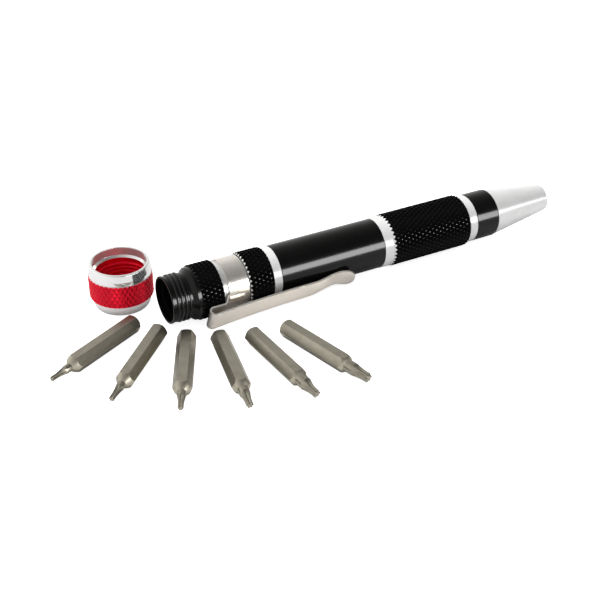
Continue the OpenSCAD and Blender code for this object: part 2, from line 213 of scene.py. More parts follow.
class FinishColours(PropertyGroup):
    """Base colours of the finishes."""

    black: FloatVectorProperty(
        name="Black anodising", subtype="COLOR", default=(0.0022, 0.0022, 0.0021), min=0, max=1,
        description="Barrel, collar, knurled bands and tube")
    red: FloatVectorProperty(
        name="Red anodising", subtype="COLOR", default=(0.8, 0.006, 0.03), min=0, max=1,
        description="Outside and thread of the cap")
    aluminium: FloatVectorProperty(
        name="Bare aluminium", subtype="COLOR", default=(0.9, 0.9, 0.895), min=0, max=1,
        description="Rings, nose, rim and foot of the cap")
    clip: FloatVectorProperty(
        name="Clip steel", subtype="COLOR", default=(0.83, 0.786, 0.73), min=0, max=1,
        description="Band and leaf of the clip")
    bit: FloatVectorProperty(
        name="Bit steel", subtype="COLOR", default=(0.372, 0.346, 0.282), min=0, max=1,
        description="The six bits")
    socket: FloatVectorProperty(
        name="Socket steel", subtype="COLOR", default=(0.5, 0.49, 0.47), min=0, max=1,
        description="The hexagonal socket in the nose")
    magnet: FloatVectorProperty(
        name="Magnet plating", subtype="COLOR", default=(0.68, 0.66, 0.62), min=0, max=1,
        description="The magnet behind the socket")


class StageLook(PropertyGroup):
    """Floor, light and camera."""

    floor: FloatVectorProperty(
        name="Floor", subtype="COLOR", default=(0.85, 0.85, 0.85), min=0, max=1,
        description="Colour of the floor")
    glow: FloatProperty(
        name="Floor glow", default=0.88, min=0.0,
        description="Light that the white sweep adds to the floor in the picture")
    dome: FloatProperty(
        name="Dome", default=0.52, min=0.0,
        description="Brightness of the even light from all round")
    key: FloatProperty(
        name="Key", default=3.4, min=0.0,
        description="Brightness of the large light overhead, which throws the soft shadows")
    strip: FloatProperty(
        name="Strip on black and clip", default=20.0, min=0.0,
        description="Brightness of the low softbox that draws the highlight along the dark pieces")
    bit_strip: FloatProperty(
        name="Strip on bits", default=5.0, min=0.0,
        description="Brightness of the same softbox, held back with a net, for the bits")
    bright_strip: FloatProperty(
        name="Strip on metal", default=4.5, min=0.0,
        description="Brightness of the same softbox, held back with two nets, for the bright pieces")
    camera: FloatVectorProperty(
        name="Camera place", subtype="XYZ", unit="LENGTH",
        default=(-85.186 * MM, -227.121 * MM, 160.56 * MM),
        description="Where the camera stands, from the floor under the handle's mouth")
    aim: FloatVectorProperty(
        name="Camera aim", subtype="XYZ", unit="LENGTH",
        default=(33.524 * MM, -5.621 * MM, 0.0),
        description="The point in the middle of the picture, from the floor under the mouth")
    lens: FloatProperty(
        name="Lens", default=72.0, unit="CAMERA",
        description="Focal length on a sensor 36 mm wide")


class DriverSettings(PropertyGroup):
    """All the sizes and colours of the screwdriver."""

    knurl: PointerProperty(type=KnurlSizes, name="Knurling", description="Diamond knurling")
    thread: PointerProperty(type=ThreadSizes, name="Thread", description="Thread of tube and cap")
    clip: PointerProperty(type=ClipSizes, name="Clip", description="Spring clip")
    bits: PointerProperty(type=BitSizes, name="Bits", description="Star bits")
    colours: PointerProperty(type=FinishColours, name="Colours", description="Finishes")
    stage: PointerProperty(type=StageLook, name="Stage", description="Floor, light and camera")


# Places

def handle_place():
    """From a handle piece's own axis, which starts at the open mouth, to its place in the row."""
    low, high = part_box("storage_tube")
    return Matrix.Translation((low.x, (low.y + high.y) / 2, (low.z + high.z) / 2))


def along_handle(node):
    """Where a handle piece starts and ends, from the open mouth, and its radius."""
    low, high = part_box(node)
    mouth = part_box("storage_tube")[0].x
    return low.x - mouth, high.x - mouth, (high.z - low.z) / 2


def cap_place():
    """Stands a piece up on the middle of the cap's foot."""
    low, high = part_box("cap_end")
    middle = (low + high) / 2
    return Matrix.Translation((middle.x, middle.y, 0)) @ Matrix.Rotation(-math.pi / 2, 4, "Y")


def up_cap(node):
    """Where a cap piece starts and ends above the floor, and its radius."""
    low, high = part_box(node)
    return low.z, high.z, (high.x - low.x) / 2


# Meshes

def rounded(corners):
    """Outline points of (station, radius, rounding) corners."""
    points = []
    for index, (station, radius, bend) in enumerate(corners):
        here = np.array((station, radius))
        if bend <= 0:
            points.append(here)
            continue
        back = np.array(corners[index - 1][:2]) - here
        on = np.array(corners[(index + 1) % len(corners)][:2]) - here
        back_length, on_length = np.linalg.norm(back), np.linalg.norm(on)
        back, on = back / back_length, on / on_length
        half = math.acos(np.clip(back @ on, -1, 1)) / 2
        if half > NEARLY_HALF * math.pi:
            points.append(here)
            continue
        run = min(bend / math.tan(half), NEARLY_HALF * back_length, NEARLY_HALF * on_length)
        middle = here + (back + on) / np.linalg.norm(back + on) * run / math.cos(half)
        first, last = here + back * run - middle, here + on * run - middle
        start = math.atan2(first[1], first[0])
        sweep = math.atan2(last[1], last[0]) - start
        sweep = (sweep + math.pi) % math.tau - math.pi
        reach = np.linalg.norm(first)
        for step in range(ROUND_STEPS + 1):
            turn = start + sweep * step / ROUND_STEPS
            points.append(middle + reach * np.array((math.cos(turn), math.sin(turn))))
    return points


def turned(outline, steps=TURN_STEPS, ring=False, skin=None):
    """Closed mesh turned about X. skin(station, radius) gives the material index of a strip."""
    shape = bmesh.new()
    turns = [math.tau * step / steps for step in range(steps)]
    rows = []
    for station, radius in outline:
        if radius < ON_AXIS:
            rows.append([shape.verts.new((station, 0, 0))] * steps)
        else:
            rows.append([shape.verts.new((station, radius * math.cos(turn), radius * math.sin(turn)))
                         for turn in turns])
    pairs = list(zip(range(len(rows)), range(1, len(rows))))
    if ring:
        pairs.append((len(rows) - 1, 0))
    for first, second in pairs:
        middle = (np.array(outline[first]) + np.array(outline[second])) / 2
        for step in range(steps):
            after = (step + 1) % steps
            loop = [rows[first][step], rows[first][after], rows[second][after], rows[second][step]]
            face = shape.faces.new(list(dict.fromkeys(loop)))
            face.material_index = skin(*middle) if skin else 0
    bmesh.ops.recalc_face_normals(shape, faces=shape.faces)
    return shape


def lofted(rings):
    """Closed mesh through rings that have as many points each, with flat ends."""
    shape = bmesh.new()
    rows = [[shape.verts.new(point) for point in ring] for ring in rings]
    for first, second in zip(rows, rows[1:]):
        for step in range(len(first)):
            after = (step + 1) % len(first)
            shape.faces.new((first[step], first[after], second[after], second[step]))
    for end in (rows[0], rows[-1]):
        shape.faces.new(end)
    bmesh.ops.recalc_face_normals(shape, faces=shape.faces)
    return shape


def new_object(name, shape, *finishes):
    """Object in the scene from a bmesh, with its finishes as material slots."""
    mesh = bpy.data.meshes.new(name)
    shape.to_mesh(mesh)
    shape.free()
    for finish in finishes:
        mesh.materials.append(finish)
    made = bpy.data.objects.new(name, mesh)
    bpy.context.scene.collection.objects.link(made)
    return made


def settle(piece):
    """Makes what a piece's modifiers show its own plain mesh, and removes them."""
    graph = bpy.context.evaluated_depsgraph_get()
    mesh = bpy.data.meshes.new_from_object(piece.evaluated_get(graph))
    piece.modifiers.clear()
    before, piece.data = piece.data, mesh
    bpy.data.meshes.remove(before)
    mesh.name = piece.name


def combine(piece, tool, operation):
    """Joins, cuts or limits a piece by a tool, which is used up."""
    modifier = piece.modifiers.new(operation.title(), "BOOLEAN")
    modifier.object, modifier.operation = tool, operation
    modifier.solver, modifier.material_mode = "MANIFOLD", "TRANSFER"
    settle(piece)
    bpy.data.objects.remove(tool)


def put(piece, place, body, slot, *nodes):
    """Cleans a finished mesh, keeps its own coordinates for the finish, and sets it on its body."""
    shape = bmesh.new()
    shape.from_mesh(piece.data)
    bmesh.ops.remove_doubles(shape, verts=shape.verts, dist=WELD)
    bmesh.ops.dissolve_degenerate(shape, edges=shape.edges, dist=WELD)
    if not shape.faces or any(len(edge.link_faces) != 2 for edge in shape.edges):
        raise RuntimeError(f"{piece.name} is not a closed mesh")
    for face in shape.faces:
        face.smooth = True
    for edge in shape.edges:
        edge.smooth = edge.calc_face_angle(0.0) < CREASE
    own = shape.verts.layers.float_vector.new(MADE_AT)
    for vert in shape.verts:
        vert[own] = vert.co
    shape.transform(place)
    shape.to_mesh(piece.data)
    shape.free()
    even = piece.modifiers.new("Even shading", "WEIGHTED_NORMAL")
    even.mode, even.weight, even.keep_sharp = "FACE_AREA", 90, True
    settle(piece)
    if body:
        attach(piece, body)
    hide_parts(*nodes)
    DRESSED[piece.name] = slot
    return piece


# Node trees

def add_node(tree, kind, inputs=None, **settings):
    """New node with its settings, its values and its links."""
    made = tree.nodes.new(kind)
    for name, value in settings.items():
        setattr(made, name, value)
    for key, value in (inputs or {}).items():
        if isinstance(value, bpy.types.NodeSocket):
            tree.links.new(value, made.inputs[key])
        else:
            made.inputs[key].default_value = value
    return made


def maths(tree, operation, first, second=0.0):
    """Result of one sum."""
    return add_node(tree, "ShaderNodeMath", {0: first, 1: second}, operation=operation).outputs[0]


def shape_tree(name, sizes):
    """Geometry tree with named inputs and one geometry output."""
    tree = bpy.data.node_groups.new(name, "GeometryNodeTree")
    tree.interface.new_socket("Geometry", in_out="INPUT", socket_type="NodeSocketGeometry")
    for label, kind in sizes:
        tree.interface.new_socket(label, in_out="INPUT", socket_type="NodeSocket" + kind)
    tree.interface.new_socket("Geometry", in_out="OUTPUT", socket_type="NodeSocketGeometry")
    return tree, tree.nodes.new("NodeGroupInput").outputs


def end_tree(tree, shape, finish):
    """Lays the shape, made along Z, along X, and ends the tree with real faces and their finish."""
    laid = add_node(tree, "GeometryNodeTransform",
                    {"Geometry": shape, "Rotation": (0, math.pi / 2, 0)})
    real = add_node(tree, "GeometryNodeRealizeInstances", {"Geometry": laid.outputs[0]})
    skin = add_node(tree, "GeometryNodeSetMaterial",
                    {"Geometry": real.outputs[0], "Material": finish})
    add_node(tree, "NodeGroupOutput", {0: skin.outputs[0]})


def knurl_tree():
    """A bar with diamond knurling: points of a fine grid stand up or lie low by turns."""
    tree, sizes = shape_tree("Diamond knurl", (
        ("Tip Radius", "Float"), ("Depth", "Float"), ("Length", "Float"),
        ("Around", "Int"), ("Rows", "Int"), ("Finish", "Material")))
    bar = add_node(tree, "GeometryNodeMeshCylinder", {
        "Vertices": maths(tree, "MULTIPLY", sizes["Around"], 2.0), "Side Segments": sizes["Rows"],
        "Radius": sizes["Tip Radius"], "Depth": sizes["Length"]}, fill_type="NGON")
    place = add_node(tree, "GeometryNodeInputPosition").outputs[0]
    axes = add_node(tree, "ShaderNodeSeparateXYZ", {0: place}).outputs
    turn = maths(tree, "DIVIDE", maths(tree, "ARCTAN2", axes["Y"], axes["X"]), math.pi)
    column = maths(tree, "ROUND", maths(tree, "MULTIPLY", turn, sizes["Around"]))
    height = maths(tree, "ADD", maths(tree, "DIVIDE", axes["Z"], sizes["Length"]), 0.5)
    row = maths(tree, "ROUND", maths(tree, "MULTIPLY", height, sizes["Rows"]))
    low = maths(tree, "FLOORED_MODULO", maths(tree, "ADD", column, row), 2.0)
    sink = maths(tree, "MULTIPLY", low, maths(tree, "DIVIDE", sizes["Depth"], sizes["Tip Radius"]))
    keep = maths(tree, "SUBTRACT", 1.0, sink)
    moved = add_node(tree, "ShaderNodeCombineXYZ", {
        "X": maths(tree, "MULTIPLY", axes["X"], keep),
        "Y": maths(tree, "MULTIPLY", axes["Y"], keep), "Z": axes["Z"]})
    grooved = add_node(tree, "GeometryNodeSetPosition",
                       {"Geometry": bar.outputs["Mesh"], "Position": moved.outputs[0]})
    facets = add_node(tree, "GeometryNodeTriangulate", {"Mesh": grooved.outputs[0]},
                      quad_method="SHORTEST_DIAGONAL")
    end_tree(tree, facets.outputs[0], sizes["Finish"])
    return tree


def thread_tree():
    """A round ridge wound in a screw line, thinning out at both ends."""
    tree, sizes = shape_tree("Thread ridge", (
        ("Radius", "Float"), ("Ridge", "Float"), ("Pitch", "Float"), ("Turns", "Float"),
        ("Run-out", "Float"), ("Finish", "Material")))
    line = add_node(tree, "GeometryNodeCurveSpiral", {
        "Resolution": 72, "Rotations": sizes["Turns"], "Start Radius": sizes["Radius"],
        "End Radius": sizes["Radius"],
        "Height": maths(tree, "MULTIPLY", sizes["Turns"], sizes["Pitch"])})
    along = add_node(tree, "GeometryNodeSplineParameter").outputs["Factor"]
    nearest = maths(tree, "MINIMUM", along, maths(tree, "SUBTRACT", 1.0, along))
    share = maths(tree, "DIVIDE", maths(tree, "MULTIPLY", nearest, sizes["Turns"]), sizes["Run-out"])
    thick = maths(tree, "MAXIMUM", maths(tree, "MINIMUM", share, 1.0), 0.1)
    section = add_node(tree, "GeometryNodeCurvePrimitiveCircle",
                       {"Resolution": 18, "Radius": sizes["Ridge"]})
    ridge = add_node(tree, "GeometryNodeCurveToMesh", {
        "Curve": line.outputs[0], "Profile Curve": section.outputs[0], "Scale": thick,
        "Fill Caps": True})
    end_tree(tree, ridge.outputs[0], sizes["Finish"])
    return tree


def grown(name, tree, values):
    """Plain mesh object grown by a geometry tree from the values of its named inputs."""
    made = new_object(name, bmesh.new())
    modifier = made.modifiers.new(tree.name, "NODES")
    modifier.node_group = tree
    for socket in tree.interface.items_tree:
        if socket.in_out == "INPUT" and socket.name in values:
            modifier[socket.identifier] = values[socket.name]
    settle(made)
    if not made.data.polygons:
        raise RuntimeError(f"{tree.name} grew no faces")
    return made


# Finishes

def metal(name, colour, worn, *, metallic, roughness, spread, lines, bump, cloud, level=0.5):
    """Metal or anodising with tool marks.

    lines stretches the marks along the piece's own axes, bump is their depth, cloud the number of
    patches per metre of the slow change in tone from colour to worn, spread what it does to gloss.
    """
    if name in bpy.data.materials:
        return bpy.data.materials[name]
    material = bpy.data.materials.new(name)
    material.use_nodes = True
    tree = material.node_tree
    shader = tree.nodes["Principled BSDF"]
    shader.inputs["Metallic"].default_value = metallic
    shader.inputs["Specular IOR Level"].default_value = level
    place = add_node(tree, "ShaderNodeAttribute", attribute_name=MADE_AT).outputs["Vector"]
    stretched = add_node(tree, "ShaderNodeMapping", {"Vector": place, "Scale": lines})
    marks = add_node(tree, "ShaderNodeTexNoise", {
        "Vector": stretched.outputs[0], "Scale": 1.0, "Detail": 3.0, "Roughness": 0.6})
    patches = add_node(tree, "ShaderNodeTexNoise", {
        "Vector": place, "Scale": cloud, "Detail": 5.0, "Roughness": 0.6})
    tone = add_node(tree, "ShaderNodeMapRange",
                    {0: patches.outputs[0], 1: 0.35, 2: 0.7, 3: 0.0, 4: 1.0})
    mixed = add_node(tree, "ShaderNodeMix",
                     {0: tone.outputs[0], 6: (*colour, 1.0), 7: (*worn, 1.0)}, data_type="RGBA")
    gloss = add_node(tree, "ShaderNodeMapRange", {
        0: maths(tree, "MULTIPLY", marks.outputs[0], maths(tree, "ADD", patches.outputs[0], 0.5)),
        1: 0.2, 2: 0.8, 3: roughness - spread, 4: roughness + spread})
    relief = add_node(tree, "ShaderNodeBump", {
        "Strength": bump, "Distance": MARK_DEPTH, "Height": marks.outputs[0]})
    tree.links.new(mixed.outputs[2], shader.inputs["Base Color"])
    tree.links.new(gloss.outputs[0], shader.inputs["Roughness"])
    tree.links.new(relief.outputs[0], shader.inputs["Normal"])
    return material


TURNED_LINES = (9000.0, 250.0, 250.0)     # tool marks round a turned piece
GROUND_LINES = (400.0, 9000.0, 9000.0)    # grinding marks along a bar or a strip
PLATED_GRAIN = (700.0, 700.0, 700.0)      # even grain of a plated piece


def tinted(colour, share):
    """A colour made lighter or darker."""
    return tuple(min(1.0, channel * share) for channel in colour)


def black_gloss(colours):
    return metal("black_anodised_gloss", colours.black, tinted(colours.black, 1.5), metallic=0.0,
                 roughness=0.16, spread=0.02, lines=TURNED_LINES, bump=0.01, cloud=300.0, level=0.23)


def black_knurl(colours):
    return metal("black_anodised_knurl", colours.black, tinted(colours.black, 1.8), metallic=0.0,
                 roughness=0.6, spread=0.08, lines=GROUND_LINES, bump=0.1, cloud=900.0, level=0.02)


def black_tips(colours):
    return metal("black_anodised_tips", tinted(colours.black, 2.0), tinted(colours.black, 4.0),
                 metallic=0.0, roughness=0.3, spread=0.05, lines=GROUND_LINES, bump=0.05,
                 cloud=900.0, level=0.34)


def black_tube(colours):
    return metal("black_anodised_tube", colours.black, tinted(colours.black, 1.8), metallic=0.0,
                 roughness=0.17, spread=0.04, lines=TURNED_LINES, bump=0.06, cloud=500.0, level=0.24)


def rubbed_thread(colours):
    return metal("black_anodised_rubbed", tinted(colours.black, 1.2), tinted(colours.black, 3.0),
                 metallic=0.0, roughness=0.22, spread=0.06, lines=TURNED_LINES, bump=0.2,
                 cloud=1500.0, level=0.38)


# Painted highlight: the mouth's end face is coloured light grey to stand in for the light its rim
# catches.
def painted_highlight_rim(colours):
    return metal("black_anodised_painted_highlight", tinted(colours.black, 16.0), tinted(colours.black, 26.0),
                 metallic=0.0, roughness=0.5, spread=0.08, lines=TURNED_LINES, bump=0.1,
                 cloud=1500.0, level=0.1)


def turned_bright(colours):
    return metal("aluminium_turned_bright", colours.aluminium, tinted(colours.aluminium, 0.93),
                 metallic=0.15, roughness=0.2, spread=0.03, lines=TURNED_LINES, bump=0.03,
                 cloud=250.0, level=0.15)


def seat_satin(colours):
    return metal("aluminium_satin_seat", tinted(colours.aluminium, 0.84),
                 tinted(colours.aluminium, 0.76), metallic=0.6, roughness=0.26, spread=0.04,
                 lines=TURNED_LINES, bump=0.05, cloud=250.0, level=0.2)


def bore_polished(colours):
    return metal("aluminium_polished_bore", colours.aluminium, tinted(colours.aluminium, 0.9),
                 metallic=0.65, roughness=0.14, spread=0.04, lines=TURNED_LINES, bump=0.05,
                 cloud=250.0)


def nose_satin(colours):
    return metal("aluminium_satin_nose", colours.aluminium, tinted(colours.aluminium, 0.92),
                 metallic=0.28, roughness=0.2, spread=0.02, lines=TURNED_LINES, bump=0.012,
                 cloud=220.0)


def red_anodised(colours):
    return metal("red_anodised", colours.red, tinted(colours.red, 0.85), metallic=0.6,
                 roughness=0.32, spread=0.05, lines=TURNED_LINES, bump=0.08, cloud=500.0, level=0.2)


def rim_polished(colours):
    return metal("aluminium_polished_rim", colours.aluminium, tinted(colours.aluminium, 0.93),
                 metallic=0.8, roughness=0.12, spread=0.02, lines=TURNED_LINES, bump=0.02,
                 cloud=250.0, level=0.3)


def clip_steel(colours):
    return metal("clip_spring_steel", colours.clip, tinted(colours.clip, 0.92), metallic=0.8,
                 roughness=0.17, spread=0.04, lines=GROUND_LINES, bump=0.04, cloud=220.0)


def bit_steel(colours):
    return metal("bit_satin_steel", colours.bit, tinted(colours.bit, 0.86), metallic=1.0,
                 roughness=0.3, spread=0.05, lines=GROUND_LINES, bump=0.12, cloud=450.0)


# Turned steel of the shoulder and neck, lighter than the ground flats; the lighter base is also a painted
# highlight of the shoulder's bright reflections.
def bit_turned_with_highlight(colours):
    return metal("bit_turned_steel_painted_highlight", tinted(colours.bit, 1.25), tinted(colours.bit, 1.1), metallic=1.0,
                 roughness=0.42, spread=0.05, lines=TURNED_LINES, bump=0.1, cloud=450.0)


def socket_steel(colours):
    return metal("socket_turned_steel", colours.socket, tinted(colours.socket, 0.8), metallic=1.0,
                 roughness=0.34, spread=0.08, lines=TURNED_LINES, bump=0.2, cloud=500.0)


def magnet_nickel(colours):
    return metal("magnet_nickel_plate", colours.magnet, tinted(colours.magnet, 0.81), metallic=1.0,
                 roughness=0.26, spread=0.06, lines=PLATED_GRAIN, bump=0.15, cloud=700.0)


# Pieces of the handle

class POCKET_DRIVER_OT_tube(Operator):
    """Make the black storage tube with its bored inside, rounded thread, neck and shoulder"""

    bl_idname = "pocket_driver.tube"
    bl_label = "Storage Tube"

    bore = 4.8 * MM
    depth = 58.6 * MM
    drill_point = 2.88 * MM
    mouth_bore = 5.35 * MM
    mouth_depth = 1.2 * MM
    lip = 5.88 * MM
    land = 0.45 * MM
    root = 5.6 * MM
    neck_end = 5.2 * MM
    cone_end = 6.3 * MM
    shoulder = 6.5 * MM
    shoulder_end = 7.2 * MM
    outside = 5.6 * MM
    spigot = 4.4 * MM

    def execute(self, context):
        settings = context.scene.pocket_driver
        colours, thread = settings.colours, settings.thread
        _, end, _ = along_handle("storage_tube")
        nose, _, _ = along_handle("nose_cone")
        outline = rounded([
            (self.depth + self.drill_point, 0, 0), (self.depth, self.bore, EASED),
            (self.mouth_depth + self.mouth_bore - self.bore, self.bore, 0),
            (self.mouth_depth, self.mouth_bore, 0), (0, self.mouth_bore, EASED),
            (0, self.lip, 2 * EASED), (self.land, self.lip, EASED), (self.land + 2 * EASED, self.root, 0),
            (self.neck_end, self.root, 2 * EASED), (self.cone_end, self.shoulder, 2 * EASED),
            (self.shoulder_end, self.shoulder, EASED),
            (self.shoulder_end, self.outside, EASED), (nose, self.outside, EASED),
            (nose, self.spigot, EASED), (end, self.spigot, EASED), (end, 0, 0)])

        def skin(station, reach):
            # The mouth's end face takes the light grey finish, a painted highlight of the rim.
            if station < WELD:
                return 2
            return int(reach < self.mouth_bore + WELD and station < self.depth + self.drill_point)

        tube = new_object("tube_with_thread", turned(outline, skin=skin), black_tube(colours),
                          black_knurl(colours), painted_highlight_rim(colours))
        combine(tube, thread_ridge(self.root, thread.turns, thread.first, thread,
                                   rubbed_thread(colours)), "UNION")
        put(tube, handle_place(), "handle", "black_tube", "storage_tube")
        return {"FINISHED"}


def thread_ridge(radius, turns, start, thread, finish):
    """The thread's ridge, wound round a radius from where it starts."""
    ridge = grown("ridge", thread_tree(), {
        "Radius": radius, "Ridge": thread.ridge, "Pitch": thread.pitch, "Turns": turns,
        "Run-out": thread.run_out, "Finish": finish})
    ridge.data.transform(Matrix.Translation((start, 0, 0)))
    return ridge


def knurled(name, start, end, radius, bore, around, depth, knurl, rear, front, skin, finishes):
    """Knurled ring: a turned blank limited by a knurled bar. rear and front are (length, drop).

    The first finishes are the blank's, which skin picks from, and the last one is the grooves'.
    """
    blank = new_object(name, turned(rounded([
        (start, bore, 0), (start, radius - rear[1], 0), (start + rear[0], radius, 0),
        (end - front[0], radius, 0), (end, radius - front[1], 0), (end, bore, 0)]),
        steps=4 * around, ring=True, skin=skin), *finishes[:-1])
    half = knurl.diamond / 2
    rows = math.ceil((end - start) / half) + 2
    bar = grown(name + "_bar", knurl_tree(), {
        "Tip Radius": radius + knurl.blunt, "Depth": depth + knurl.blunt,
        "Length": rows * half, "Around": around, "Rows": rows, "Finish": finishes[-1]})
    first = start + knurl.lead - half
    bar.data.transform(Matrix.Translation((first + rows * half / 2, 0, 0)))
    combine(blank, bar, "INTERSECT")
    return blank


class POCKET_DRIVER_OT_knurled_bands(Operator):
    """Make the two knurled rings and the knurled grip, each with its bright toothed edges"""

    bl_idname = "pocket_driver.knurled_bands"
    bl_label = "Knurled Bands"

    # Name, node, then the length, drop and brightness of the rear and of the front chamfer
    bands = (
        ("rear_knurl", "rear_knurl_ring",
         (0.15 * MM, 0.25 * MM, False), (0.2 * MM, 0.3 * MM, True)),
        ("middle_knurl", "middle_knurl_ring",
         (0.3 * MM, 0.36 * MM, True), (0.15 * MM, 0.2 * MM, False)),
        ("grip_knurl", "knurled_grip",
         (0.9 * MM, 0.42 * MM, True), (0.25 * MM, 0.3 * MM, False)),
    )

    def execute(self, context):
        settings = context.scene.pocket_driver
        knurl, colours = settings.knurl, settings.colours
        for name, node, rear, front in self.bands:
            start, end, radius = along_handle(node)

            def skin(station, reach):
                on_rear = rear[2] and start < station < start + rear[0]
                on_front = front[2] and end - front[0] < station < end
                return int(reach > SLEEVE_BORE + WELD and (on_rear or on_front))

            band = knurled(name, start, end, radius, SLEEVE_BORE, knurl.around, knurl.depth, knurl,
                           rear[:2], front[:2], skin,
                           (black_tips(colours), turned_bright(colours), black_knurl(colours)))
            put(band, handle_place(), "handle", "black_knurl", node)
        return {"FINISHED"}


class POCKET_DRIVER_OT_sleeves(Operator):
    """Make the plain sleeves: the bright rings, the clip's seat, the black barrel and the collar"""

    bl_idname = "pocket_driver.sleeves"
    bl_label = "Rings, Barrel and Collar"

    # Name, node, finish, slot, then the rounding of the rear and of the front edge
    sleeves = (
        ("seat_ring", "clip_seat", seat_satin, "bright_ring", EASED, EASED),
        ("rear_ring", "rear_bright_ring", turned_bright, "bright_ring", 2 * EASED, 3 * EASED),
        ("barrel", "barrel_sleeve", black_gloss, "black_gloss", 2 * EASED, 2 * EASED),
        ("grip_ring", "grip_bright_ring", turned_bright, "bright_ring", 2 * EASED, 2 * EASED),
        ("front_ring", "front_bright_ring", turned_bright, "bright_ring", 2 * EASED, 3 * EASED),
        ("collar", "front_collar", black_gloss, "black_gloss", 2 * EASED, 0.6 * MM),
    )

    def execute(self, context):
        colours = context.scene.pocket_driver.colours
        for name, node, finish, slot, rear, front in self.sleeves:
            start, end, radius = along_handle(node)
            outline = rounded([(start, SLEEVE_BORE, 0), (start, radius, rear),
                               (end, radius, front), (end, SLEEVE_BORE, 0)])
            sleeve = new_object(name, turned(outline, ring=True), finish(colours))
            put(sleeve, handle_place(), "handle", slot, node)
        return {"FINISHED"}


def hex_prism(start, end, across, corner):
    """Hexagonal bar along X with a flat on top and rounded edges."""
    reach = (across / 2 - corner) / math.cos(math.pi / 6)
    loop = []
    for side in range(6):
        middle = math.radians(60 * side)
        for step in range(3):
            turn = middle + math.radians(60) * (step / 2 - 0.5)
            loop.append((reach * math.cos(middle) + corner * math.cos(turn),
                         reach * math.sin(middle) + corner * math.sin(turn)))
    return lofted([[(station, y, z) for y, z in loop] for station in (start, end)])


class POCKET_DRIVER_OT_nose(Operator):
    """Make the satin nose cone, the hexagonal socket inside it and the magnet behind that"""

    bl_idname = "pocket_driver.nose"
    bl_label = "Nose, Socket and Magnet"

    tip = 3.597 * MM
    tip_round = 0.4 * MM
    tip_bore = 3.017 * MM
    tail_bore = 4.42 * MM
    hexagon = 4.1 * MM
    magnet_room = 0.02 * MM          # gap round the magnet in its pocket

    def execute(self, context):
        colours = context.scene.pocket_driver.colours
        start, end, radius = along_handle("nose_cone")
        socket_start, socket_end, socket_radius = along_handle("bit_socket")
        magnet_start, magnet_end, magnet_radius = along_handle("socket_magnet")
        _, tail_end, _ = along_handle("storage_tube")
        shelf = tail_end + EASED
        cone = new_object("nose", turned(rounded([
            (start, self.tail_bore, 0), (start, radius, 2 * EASED), (end, self.tip, self.tip_round),
            (end, self.tip_bore, 2 * EASED), (shelf, self.tip_bore, 0),
            (shelf, self.tail_bore, 0)]), ring=True), nose_satin(colours))
        put(cone, handle_place(), "handle", "nose_satin", "nose_cone")

        socket = new_object("socket", turned(rounded([
            (socket_start, 0, 0), (socket_start, socket_radius, EASED),
            (socket_end, socket_radius, 2 * EASED), (socket_end, 0, 0)])), socket_steel(colours))
        mouth, pocket = socket_start - OVERRUN, magnet_radius + self.magnet_room
        combine(socket, new_object("pocket", turned(
            [(mouth, 0), (mouth, pocket), (magnet_end, pocket), (magnet_end, 0)])), "DIFFERENCE")
        combine(socket, new_object("hexagon", hex_prism(
            magnet_end - EASED, socket_end + OVERRUN, self.hexagon, EASED)), "DIFFERENCE")
        put(socket, handle_place(), "handle", "socket_steel", "bit_socket")

        magnet = new_object("magnet", turned(rounded([
            (magnet_start, 0, 0), (magnet_start, magnet_radius, 2 * EASED),
            (magnet_end, magnet_radius, 2 * EASED), (magnet_end, 0, 0)])), magnet_nickel(colours))
        put(magnet, handle_place(), "handle", "magnet_nickel", "socket_magnet")
        return {"FINISHED"}


# Clip

def eased(share):
    """Smooth step from 0 to 1."""
    share = np.clip(share, 0.0, 1.0)
    return share * share * (3 - 2 * share)


